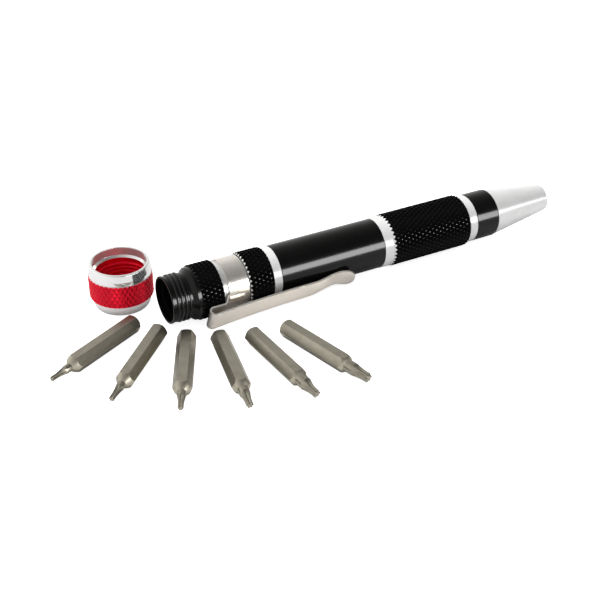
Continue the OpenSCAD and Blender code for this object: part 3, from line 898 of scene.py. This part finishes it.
class POCKET_DRIVER_OT_clip(Operator):
    """Make the spring clip: one strip that wraps the seat, folds back and runs along the barrel"""

    bl_idname = "pocket_driver.clip"
    bl_label = "Spring Clip"

    inside = 6.08 * MM               # band's inner radius
    band = (14.3 * MM, 19.4 * MM)
    fold_at = 9.2 * MM
    fold_middle = 8.275 * MM
    leaf_turn = (35.6 * MM, 8.127 * MM)
    dip = (43.8 * MM, 6.975 * MM)
    tip = (48.0 * MM, 8.325 * MM)
    tip_bend = 0.12                  # share of the turned-up end that its bend takes
    columns = 13                     # points across the strip
    edge_bend = math.radians(50)     # edges that bend more than this are eased
    # Where the leaf's own motion takes over, from the fold's middle, and its length along and outwards
    blend_under = 0.067 * MM
    blend_reach = (0.036 * MM, 0.43 * MM)

    def middle_line(self, clip):
        """(station, height over the axis) points of the tongue, the fold and the leaf."""
        tongue_end = self.band[0] - clip.rise
        low, high = self.fold_middle - clip.fold, self.fold_middle + clip.fold
        line = [(station, low) for station in np.linspace(tongue_end, self.fold_at, 8)]
        for turn in np.linspace(0, math.pi, 25)[1:]:
            line.append((self.fold_at - clip.fold * math.sin(turn),
                         self.fold_middle - clip.fold * math.cos(turn)))
        for share in np.linspace(0, 1, 25)[1:]:
            line.append((self.fold_at + (self.leaf_turn[0] - self.fold_at) * share,
                         self.leaf_turn[1] + (high - self.leaf_turn[1]) * (1 - share) ** 2))
        for share in np.linspace(0, 1, 17)[1:]:
            line.append((self.leaf_turn[0] + (self.dip[0] - self.leaf_turn[0]) * share,
                         self.leaf_turn[1] + (self.dip[1] - self.leaf_turn[1]) * eased(share)))
        bend = self.tip_bend
        for share in np.sin(np.linspace(0, math.pi / 2, 25)[1:]):
            lift = (math.hypot(bend, share) - bend) / (math.hypot(bend, 1) - bend)
            line.append((self.dip[0] + (self.tip[0] - self.dip[0]) * share,
                         self.dip[1] + (self.tip[1] - self.dip[1]) * lift))
        return line

    def half_width(self, clip, station):
        """Half of the leaf's width, which narrows to a waist and rounds off at the free end."""
        round_start = self.tip[0] - clip.corner
        stations = (self.fold_at, self.leaf_turn[0], (self.leaf_turn[0] + self.dip[0]) / 2, self.dip[0],
                    round_start)
        widths = (clip.width, clip.turn_width, clip.waist, clip.waist, clip.tip_width)
        half = np.interp(station, stations, widths) / 2
        over = max(0.0, station - round_start)
        return half - clip.corner + math.sqrt(max(0.0, clip.corner ** 2 - over ** 2))

    def execute(self, context):
        settings = context.scene.pocket_driver
        clip = settings.clip
        outward = Vector((0, -math.cos(clip.below), -math.sin(clip.below)))
        across = Vector((0, math.sin(clip.below), -math.cos(clip.below)))
        along = Vector((1, 0, 0))
        shape = bmesh.new()

        def point(station, height, side):
            return shape.verts.new(along * station + outward * height + across * side)

        def quads(first, second):
            for column in range(len(first) - 1):
                shape.faces.new((first[column], first[column + 1], second[column + 1], second[column]))

        middle = self.inside + clip.thickness / 2
        spread = np.linspace(-1, 1, self.columns)
        root_turn = (clip.width / 2 + clip.flare) / middle
        far_turn = math.pi - clip.split / 2 / middle
        rest = np.linspace(root_turn, far_turn, 40)[1:]
        turns = np.concatenate((-rest[::-1], root_turn * spread, rest))
        rows = [[point(station, middle * math.cos(turn), middle * math.sin(turn)) for turn in turns]
                for station in np.linspace(*self.band, 7)]
        for first, second in zip(rows, rows[1:]):
            quads(first, second)

        row = rows[0][len(rest):len(rest) + self.columns]
        low = self.fold_middle - clip.fold
        for share in np.linspace(0, 1, 11)[1:]:
            lift = eased(share)
            half = clip.width / 2 + clip.flare * (1 - share) ** 3
            turn = half / middle * spread
            heights = (1 - lift) * middle * np.cos(turn) + lift * low
            sides = (1 - lift) * middle * np.sin(turn) + lift * half * spread
            row, before = [point(self.band[0] - clip.rise * share, height, side)
                           for height, side in zip(heights, sides)], row
            quads(before, row)
        for station, height in self.middle_line(clip)[1:]:
            half = self.half_width(clip, station)
            row, before = [point(station, height, half * side) for side in spread], row
            quads(before, row)

        bmesh.ops.recalc_face_normals(shape, faces=shape.faces)
        strip = new_object("clip_strip", shape, clip_steel(settings.colours))
        wall = strip.modifiers.new("Wall", "SOLIDIFY")
        wall.thickness, wall.offset, wall.use_even_offset = clip.thickness, 0.0, True
        edge = strip.modifiers.new("Eased edges", "BEVEL")
        edge.width, edge.segments, edge.limit_method = 2 * EASED, 3, "ANGLE"
        edge.angle_limit = self.edge_bend
        settle(strip)
        put(strip, handle_place(), None, "clip_steel", "clip_band", "clip_arm")
        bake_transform(strip)
        return {"FINISHED"}


# Cap

class POCKET_DRIVER_OT_cap(Operator):
    """Make the red knurled cap with its threaded inside, its polished rim and its bright foot"""

    bl_idname = "pocket_driver.cap"
    bl_label = "Cap"

    thread_root = 6.15 * MM
    counterbore = 6.65 * MM
    ledge = 9.5 * MM
    swell = 9.81 * MM                # where the rim starts to draw in towards its lip
    swell_round = 0.9 * MM
    lip = 7.3 * MM
    lip_round = 0.3 * MM
    foot = 6.6 * MM
    foot_inset = 0.1 * MM
    foot_bow = 1.8                   # how strongly the foot's side bows out
    plug = 5.73 * MM
    rear_chamfer = (0.2 * MM, 0.22 * MM)
    front_chamfer = (0.3 * MM, 0.4 * MM)

    def execute(self, context):
        settings = context.scene.pocket_driver
        colours, knurl, thread = settings.colours, settings.knurl, settings.thread
        red, rim = red_anodised(colours), rim_polished(colours)

        start, end, radius = up_cap("cap_body")
        land = radius - WELD

        def body_skin(station, reach):
            return int(self.thread_root + WELD < reach < land and start < station < end)

        body = knurled("cap_knurl", start, end, radius, self.thread_root, knurl.cap_around,
                       knurl.cap_depth, knurl, self.rear_chamfer, self.front_chamfer, body_skin,
                       (red, rim, red))
        first = (start + end - thread.pitch * thread.cap_turns) / 2
        combine(body, thread_ridge(self.thread_root, thread.cap_turns, first, thread, red), "UNION")
        put(body, cap_place(), "cap", "red_knurl", "cap_body")

        def inside_skin(station, reach):
            if reach < self.thread_root + EASED:
                return 1
            return 2 if reach < self.counterbore + WELD and station > self.ledge + WELD else 0

        start, end, radius = up_cap("cap_mouth_ring")
        mouth = new_object("cap_rim", turned(rounded([
            (start, self.thread_root, 0), (start, radius, EASED), (self.swell, radius, self.swell_round),
            (end, self.lip, self.lip_round), (end, self.counterbore, 2 * EASED),
            (self.ledge, self.counterbore, 2 * EASED), (start + 2 * EASED, self.thread_root, EASED)]),
            ring=True, skin=inside_skin), rim, red, bore_polished(colours))
        put(mouth, cap_place(), "cap", "bright_ring", "cap_mouth_ring")

        _, top, radius = up_cap("cap_end")
        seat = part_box("cap_body")[0].z
        side = [(seat * share, radius - (radius - self.foot) * (1 - share) ** self.foot_bow, 0)
                for share in np.linspace(0.12, 1, 9)]
        foot = new_object("cap_foot", turned(rounded([
            (0, 0, 0), (0, self.foot - self.foot_inset, 2 * EASED), *side[:-1], (*side[-1][:2], EASED),
            (seat, self.plug, 0), (top, self.plug, EASED), (top, 0, 0)]),
            skin=lambda station, reach: int(station > seat + WELD)), rim, red)
        put(foot, cap_place(), "cap", "bright_ring", "cap_end")
        return {"FINISHED"}


# Bits

class POCKET_DRIVER_OT_bits(Operator):
    """Make the six hexagonal bits, each with a domed shoulder, a neck and a fluted star end"""

    bl_idname = "pocket_driver.bits"
    bl_label = "Star Bits"

    edge = 0.14 * MM                 # rounding of the hexagon's long edges
    tail = 1.62 * MM                 # radius of the flat end
    tail_round = 0.35 * MM
    taper = 0.75 * MM                # length in which the tail reaches the full hexagon
    taper_round = 0.3 * MM
    corner_room = 0.1 * MM           # by which the blank clears the hexagon's corners
    dome_lead = 0.5 * MM             # by which the shoulder starts before the hexagon's end
    star_points = 72                 # points round the star
    star_end = 0.14                  # rounding of the star's end, as a share of its size
    fin_curve, valley_curve, lobe_curve = 1.5, 2.6, 1.25
    # Each bit's tail from the handle's mouth, in widths of the grip, and its turn in degrees
    lies = ((-0.53, 0.11, -153.0), (-0.25, -0.32, -134.5), (0.1, -0.69, -116.5),
            (0.58, -0.96, -101.0), (1.1, -1.17, -85.5), (1.7, -1.25, -75.5))

    def place(self, lie, across):
        """Lays a bit on the floor from where its tail is to the way it points."""
        mouth = handle_place().translation
        width = 2 * along_handle("knurled_grip")[2]
        tail = (mouth.x + lie[0] * width, mouth.y + lie[1] * width, across / 2)
        return Matrix.Translation(tail) @ Matrix.Rotation(math.radians(lie[2]), 4, "Z")

    def star(self, bits, size, neck, start):
        """The neck and the star end, lofted as rings whose flutes deepen towards the end."""
        neck_end = bits.length - bits.fluted
        end_round = self.star_end * size
        stations = np.concatenate((
            [start], np.linspace(neck_end, neck_end + bits.run_out, 15),
            np.linspace(neck_end + bits.run_out, bits.length - end_round, 4)[1:],
            bits.length - end_round * (1 - np.sin(np.linspace(0, math.pi / 2, 6)[1:]))))
        turns = np.linspace(0, math.tau, self.star_points, endpoint=False)
        lobes = (0.5 + 0.5 * np.cos(6 * turns)) ** self.lobe_curve
        high, low = size / 2, size / 2 * bits.valley
        rings = []
        for station in stations:
            left = 1 - np.clip((station - neck_end) / bits.run_out, 0, 1)
            fins = high + (neck - high) * left ** self.fin_curve
            floor = low + (neck - low) * left ** self.valley_curve
            over = max(0.0, station - (bits.length - end_round)) / end_round
            reach = (floor + (fins - floor) * lobes) * (1 - 0.25 * over ** 2)
            rings.append([(station, radius * math.cos(turn), radius * math.sin(turn))
                          for radius, turn in zip(reach, turns)])
        return lofted(rings)

    def execute(self, context):
        settings = context.scene.pocket_driver
        bits, finish, cut = settings.bits, bit_steel(settings.colours), bit_turned_with_highlight(settings.colours)
        over = bits.hexagon / math.sqrt(3) + self.corner_room
        dome_start = bits.hex_length - self.dome_lead
        for number, (size, neck, lie) in enumerate(zip(bits.stars, bits.necks, self.lies), 1):
            neck = neck / 2
            bar = new_object(f"bit_{number}", hex_prism(
                -OVERRUN, bits.length, bits.hexagon, self.edge), finish)
            dome_end = dome_start + bits.shoulder * (over - neck)
            dome = [(dome_start + (dome_end - dome_start) * math.sin(turn),
                     neck + (over - neck) * math.cos(turn) ** 2, 0)
                    for turn in np.linspace(0, NEARLY_HALF * math.pi, 19)]
            # The shoulder and neck take the lighter turned finish, partly a painted highlight.
            blank = new_object("blank", turned(rounded([
                (0, 0, 0), (0, self.tail, self.tail_round), (self.taper, over, self.taper_round), *dome,
                (dome_end, neck - EASED, 0), (dome_end, 0, 0)]),
                skin=lambda station, reach: int(station > dome_start)), finish, cut)
            combine(bar, blank, "INTERSECT")
            star = new_object("star", self.star(bits, size, neck, bits.hex_length), finish)
            combine(bar, star, "UNION")
            node = f"star_bit_{number}"
            put(bar, self.place(lie, bits.hexagon), node, "bit_steel", node)
        return {"FINISHED"}


# Stage

def aimed(place, aim):
    """Turn of a camera or light at a place so that it looks at a point."""
    return (Vector(aim) - Vector(place)).to_track_quat("-Z", "Y").to_euler()


class POCKET_DRIVER_OT_stage(Operator):
    """Lay the pale floor, set the soft light round it and place the camera"""

    bl_idname = "pocket_driver.stage"
    bl_label = "Stage"

    reach = 2.0                      # from the middle of the floor to its edges, in metres
    strip_place, strip_size = (0.222, -0.611, 0.153), (0.56, 0.27)
    end_place, end_aim, end_size = (0.6, -0.4, 0.11), (0.1, 0, 0), (0.5, 0.15)
    end_share = 0.5                  # brightness of the end strip by that of the strip on metal
    key_place, key_size = (-0.1, 0.35, 0.9), (0.9, 0.9)
    sensor, nearest = 36.0, 0.01     # the camera's sensor in millimetres, its nearest distance in metres
    # What shiny pieces mirror: a pale rear left that darkens upwards and towards the front right
    darkens_along = (0.7, -0.6, 1.0)
    mirrored = ((-1.0, 1.4), (-0.6, 1.3), (-0.2, 0.95), (0.31, 0.8), (0.45, 0.7), (0.7, 0.5),
                (1.1, 0.28), (1.35, 0.16))

    def floor(self, stage):
        shape = bmesh.new()
        bmesh.ops.create_grid(shape, x_segments=8, y_segments=8, size=self.reach)
        material = bpy.data.materials.new("floor_paper")
        material.use_nodes = True
        tree = material.node_tree
        place = add_node(tree, "ShaderNodeTexCoord").outputs["Object"]
        fibre = add_node(tree, "ShaderNodeTexNoise", {"Vector": place, "Scale": 900.0, "Detail": 4.0})
        tone = add_node(tree, "ShaderNodeMix", {
            0: fibre.outputs[0], 6: (*stage.floor, 1.0), 7: (*tinted(stage.floor, 0.985), 1.0)},
            data_type="RGBA")
        seen = add_node(tree, "ShaderNodeLightPath").outputs["Is Camera Ray"]
        shader = tree.nodes["Principled BSDF"]
        tree.links.new(tone.outputs[2], shader.inputs["Base Color"])
        tree.links.new(maths(tree, "MULTIPLY", seen, stage.glow), shader.inputs["Emission Strength"])
        shader.inputs["Emission Color"].default_value = (1, 1, 1, 1)
        shader.inputs["Roughness"].default_value = 0.9
        shader.inputs["Specular IOR Level"].default_value = 0.0
        new_object("floor", shape, material)

    def softbox(self, name, place, aim, size, brightness, mirrored, receivers=None):
        """A softbox whose power follows from its size and brightness.

        One that is mirrored shows in shiny pieces only, and one that isn't lights all the rest.
        With receivers it reaches only these objects.
        """
        data = bpy.data.lights.new(name, "AREA")
        data.shape, data.size, data.size_y = "RECTANGLE", *size
        data.energy = brightness * math.pi * size[0] * size[1]
        made = bpy.data.objects.new(name, data)
        made.location, made.rotation_euler = place, aimed(place, aim)
        made.visible_diffuse, made.visible_glossy = not mirrored, mirrored
        bpy.context.scene.collection.objects.link(made)
        if receivers:
            group = bpy.data.collections.new(name + "_receivers")
            for piece in receivers:
                group.objects.link(piece)
            made.light_linking.receiver_collection = group

    def surroundings(self, stage):
        """Even light from all round, and a darker sky for what shiny pieces mirror."""
        world = bpy.data.worlds.new("studio")
        world.use_nodes = True
        tree = world.node_tree
        way = add_node(tree, "ShaderNodeTexCoord").outputs["Generated"]
        height = add_node(tree, "ShaderNodeVectorMath", {0: way, 1: self.darkens_along},
                          operation="DOT_PRODUCT").outputs["Value"]
        lowest, highest = self.mirrored[0][0], self.mirrored[-1][0]
        ramp = add_node(tree, "ShaderNodeValToRGB", {
            0: add_node(tree, "ShaderNodeMapRange", {0: height, 1: lowest, 2: highest}).outputs[0]})
        stops = ramp.color_ramp.elements
        for index, (level, grey) in enumerate(self.mirrored):
            at = (level - lowest) / (highest - lowest)
            stop = stops[0] if index == 0 else stops[-1] if at == 1 else stops.new(at)
            stop.color = (grey, grey, grey * 0.98, 1)
        glossy = add_node(tree, "ShaderNodeLightPath").outputs["Is Glossy Ray"]
        even = (stage.dome, stage.dome, stage.dome, 1)
        sky = add_node(tree, "ShaderNodeMix", {0: glossy, 6: even, 7: ramp.outputs[0]}, data_type="RGBA")
        tree.links.new(sky.outputs[2], tree.nodes["Background"].inputs["Color"])
        bpy.context.scene.world = world

    def execute(self, context):
        scene, stage = context.scene, context.scene.pocket_driver.stage
        mouth = handle_place().translation
        under_mouth = Vector((mouth.x, mouth.y, 0))
        self.floor(stage)
        pieces = [item for item in scene.objects if item.type == "MESH" and item.name in DRESSED]
        dark = [item for item in pieces if DRESSED[item.name].startswith(("black", "clip"))]
        bits = [item for item in pieces if DRESSED[item.name].startswith("bit")]
        bright = [item for item in pieces if item not in dark + bits]
        middle = (0, 0, 0)
        for name, brightness, receivers in (
                ("strip", stage.strip, dark), ("bit_strip", stage.bit_strip, bits),
                ("bright_strip", stage.bright_strip, bright)):
            self.softbox(name, self.strip_place, middle, self.strip_size, brightness, True, receivers)
        self.softbox("end_strip", self.end_place, self.end_aim, self.end_size,
                     self.end_share * stage.bright_strip, True, bright)
        self.softbox("key", self.key_place, middle, self.key_size, stage.key, False)
        self.surroundings(stage)
        data = bpy.data.cameras.new("camera")
        data.lens, data.sensor_width, data.clip_start = stage.lens, self.sensor, self.nearest
        camera = bpy.data.objects.new("camera", data)
        camera.location = under_mouth + Vector(stage.camera)
        camera.rotation_euler = aimed(camera.location, under_mouth + Vector(stage.aim))
        scene.collection.objects.link(camera)
        scene.camera = camera
        scene.view_settings.view_transform = "Standard"
        return {"FINISHED"}


class POCKET_DRIVER_PT_panel(Panel):
    """Lists the steps that build the screwdriver"""

    bl_idname = "POCKET_DRIVER_PT_panel"
    bl_label = "Pocket Screwdriver"
    bl_space_type = "VIEW_3D"
    bl_region_type = "UI"
    bl_category = "Screwdriver"

    def draw(self, context):
        for step in STEPS:
            self.layout.operator(step.bl_idname)


STEPS = (
    POCKET_DRIVER_OT_tube, POCKET_DRIVER_OT_knurled_bands, POCKET_DRIVER_OT_sleeves,
    POCKET_DRIVER_OT_nose, POCKET_DRIVER_OT_clip, POCKET_DRIVER_OT_cap, POCKET_DRIVER_OT_bits,
    POCKET_DRIVER_OT_stage)
CLASSES = (
    KnurlSizes, ThreadSizes, ClipSizes, BitSizes, FinishColours, StageLook, DriverSettings,
    *STEPS, POCKET_DRIVER_PT_panel)


def register():
    for item in CLASSES:
        bpy.utils.register_class(item)
    bpy.types.Scene.pocket_driver = PointerProperty(type=DriverSettings)


def unregister():
    del bpy.types.Scene.pocket_driver
    for item in reversed(CLASSES):
        bpy.utils.unregister_class(item)


def main():
    register()
    for step in STEPS:
        group, call = step.bl_idname.split(".")
        getattr(getattr(bpy.ops, group), call)()


if __name__ == "__main__":
    main()
